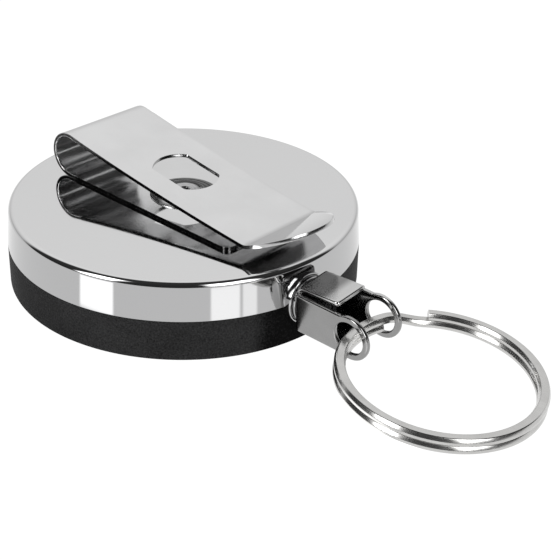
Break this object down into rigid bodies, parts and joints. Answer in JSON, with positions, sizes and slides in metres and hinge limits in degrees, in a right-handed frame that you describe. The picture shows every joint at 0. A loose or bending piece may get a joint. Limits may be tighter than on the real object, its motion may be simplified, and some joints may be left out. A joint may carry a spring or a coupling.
{
  "type": "retractable key reel with belt clip",
  "caption": "Round sprung cord reel with a black cover, a plated cap and a folded belt clip on its back, and a bracket with a split ring on the end of its cord.",
  "frame": {"origin": "centre of the flat black face that the reel lies on", "axes": "+Z from the black face to the clip side; +X along the clip and the pull of the cord; the cord leaves beside the centre line, on the -Y side"},
  "size_m": [0.0823, 0.048, 0.0172],
  "materials": {
    "black_plastic": "fine matte grain, moulded",
    "chrome_cap": "bright plated, mirror polish",
    "clip_steel": "bright plated spring strip",
    "rivet_steel": "plated, slightly dulled",
    "bracket_steel": "bright plated, a little darker than the cap",
    "ring_nickel": "nickel plated wire",
    "pale_nylon": "moulded, satin",
    "spring_steel": "cold rolled",
    "black_cord": "braided nylon"
  },
  "bodies": {
    "case": {"front_cover": "black_plastic", "back_cap": "chrome_cap", "outlet_bush": "bracket_steel", "arbor_post": "spring_steel", "thrust_washer": "pale_nylon", "hold_down_ring": "pale_nylon", "clip_rivet": "rivet_steel", "backing_washer": "rivet_steel"},
    "spool": {"spool": "pale_nylon", "spool_lid": "pale_nylon", "power_spring": "spring_steel", "cord_winding": "black_cord"},
    "cord_end": {"cord_lead": "black_cord", "cord_stop": "spring_steel"},
    "bracket": {"end_bracket": "bracket_steel"},
    "ring": {"split_ring": "ring_nickel"},
    "clip_base": {"clip_back_leaf": "clip_steel"},
    "clip_leaf": {"clip_spring_leaf": "clip_steel"}
  },
  "joints": [
    {"name": "cord_pull", "type": "slide", "parent": "case", "child": "cord_end", "axis": [1, 0, 0], "range_m": [0, 0.6], "stiffness_N_per_m": 1.5, "springref_m": -0.8, "deforming": ["cord_lead"]},
    {"name": "spool_spin", "type": "hinge", "parent": "case", "child": "spool", "pos_m": [0, 0, 0.00575], "axis": [0, 0, 1], "range_deg": [0, 2300], "deforming": ["power_spring", "cord_winding"]},
    {"name": "bracket_swivel", "type": "hinge", "parent": "cord_end", "child": "bracket", "pos_m": [0.0248, -0.0018, 0.00575], "axis": [1, 0, 0], "continuous": true},
    {"name": "ring_swing", "type": "hinge", "parent": "bracket", "child": "ring", "pos_m": [0.0337, -0.0018, 0.00575], "axis": [0, 0.9962, 0.0872], "range_deg": [-120, 105]},
    {"name": "clip_swivel", "type": "hinge", "parent": "case", "child": "clip_base", "pos_m": [0, 0, 0.0108], "axis": [0, 0, 1], "continuous": true},
    {"name": "clip_flex", "type": "hinge", "parent": "clip_base", "child": "clip_leaf", "pos_m": [-0.01892, 0, 0.01402], "axis": [0, -1, 0], "range_deg": [0, 12], "stiffness_Nm_per_rad": 1.5}
  ],
  "couplings": [
    {"joint": "spool_spin", "follows": "cord_pull", "rad_per_m": 66.49}
  ]
}
